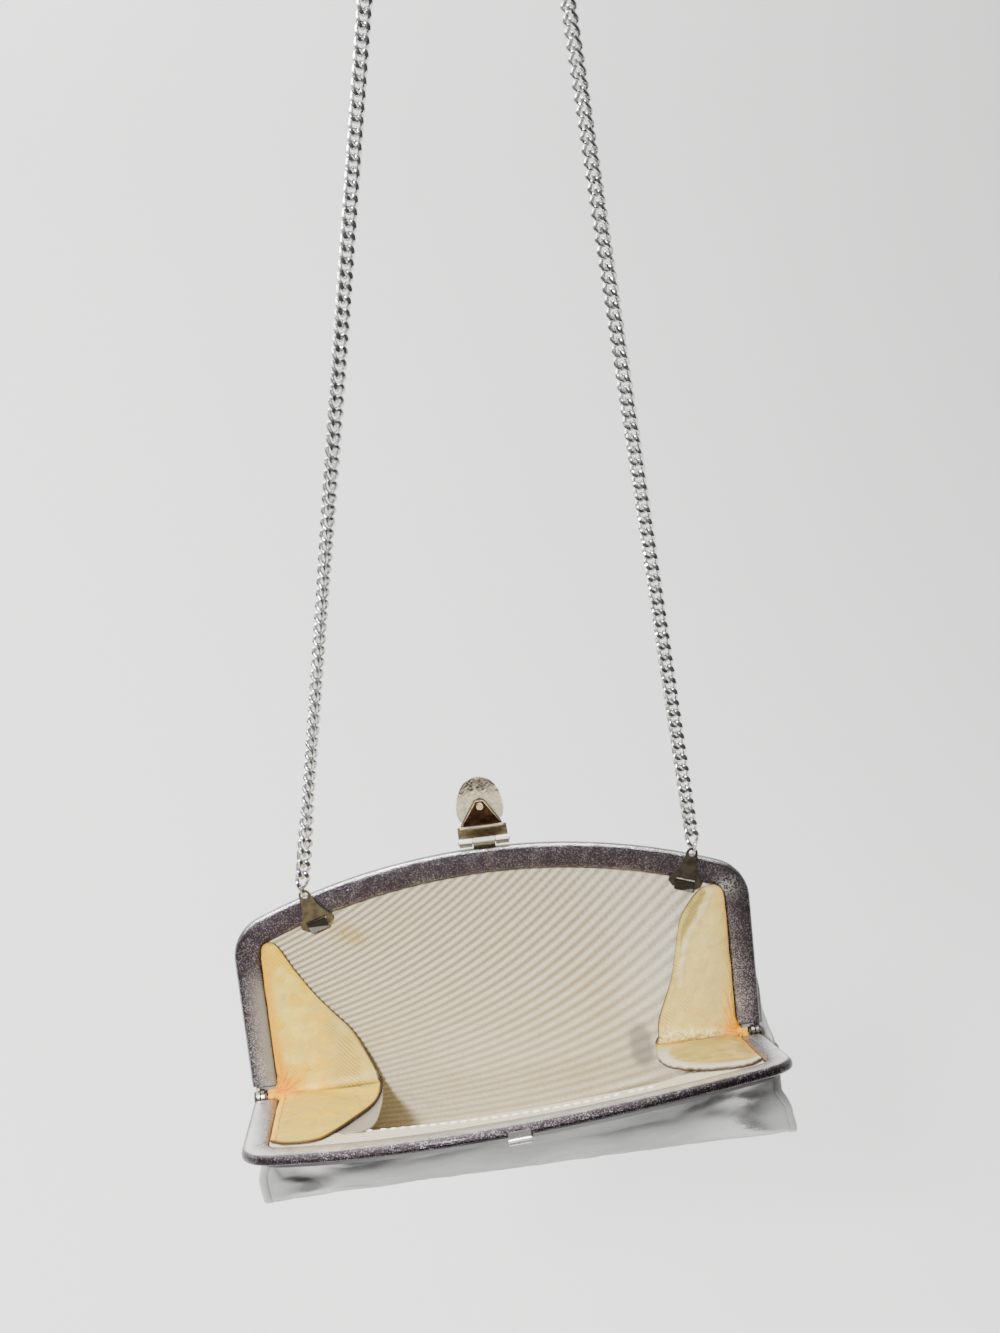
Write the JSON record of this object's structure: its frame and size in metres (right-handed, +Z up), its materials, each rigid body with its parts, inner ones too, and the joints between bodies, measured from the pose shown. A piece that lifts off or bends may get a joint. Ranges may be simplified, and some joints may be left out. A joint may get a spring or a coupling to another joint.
{
  "type": "framed evening bag with chain handle",
  "caption": "Silver leather evening bag hanging open from its long chain, with hinged arched rails, ivory lining, folded side gussets and a fold-over clasp.",
  "frame": {"origin": "underside of the chain's top bend, where it lies on its hook", "axes": "+Z up, +X to the right along the open bag's front, +Y to the back of the bag"},
  "size_m": [0.2119, 0.101, 0.6616],
  "materials": {
    "rail_leather": "metallic silver leather, fine grain, worn along the edges",
    "body_leather": "bright metallic silver leather, soft folds",
    "lining_cloth": "ivory ribbed cloth, lightly stained",
    "gusset_satin": "cream satin, yellowed at the creases",
    "clasp_metal": "champagne plated, finely hatched, worn",
    "chain_metal": "polished nickel, slightly aged",
    "aged_nickel": "aged nickel plate"
  },
  "bodies": {
    "bag": {"back_frame_rail": "rail_leather", "front_frame_rail": "rail_leather", "hinge_ear_back_left": "aged_nickel", "hinge_ear_front_left": "aged_nickel", "hinge_rivet_left": "aged_nickel", "hinge_ear_back_right": "aged_nickel", "hinge_ear_front_right": "aged_nickel", "hinge_rivet_right": "aged_nickel", "leather_body": "body_leather", "lining": "lining_cloth", "gusset_left": "gusset_satin", "gusset_right": "gusset_satin", "clasp_leaf": "clasp_metal", "clasp_pin": "aged_nickel", "front_catch": "aged_nickel", "hanger_left": "aged_nickel", "hanger_strap_left": "aged_nickel", "chain_ring_left": "chain_metal", "hanger_right": "aged_nickel", "hanger_strap_right": "aged_nickel", "chain_ring_right": "chain_metal", "chain": "chain_metal"},
    "clasp": {"clasp_flap": "clasp_metal", "clasp_ornament": "clasp_metal", "clasp_rivet": "aged_nickel"}
  },
  "joints": [
    {"name": "clasp_hinge", "type": "hinge", "parent": "bag", "child": "clasp", "pos_m": [-0.00547, 0.0025, -0.5167], "axis": [0.9976, 0, 0.0695], "range_deg": [0, 163]}
  ]
}
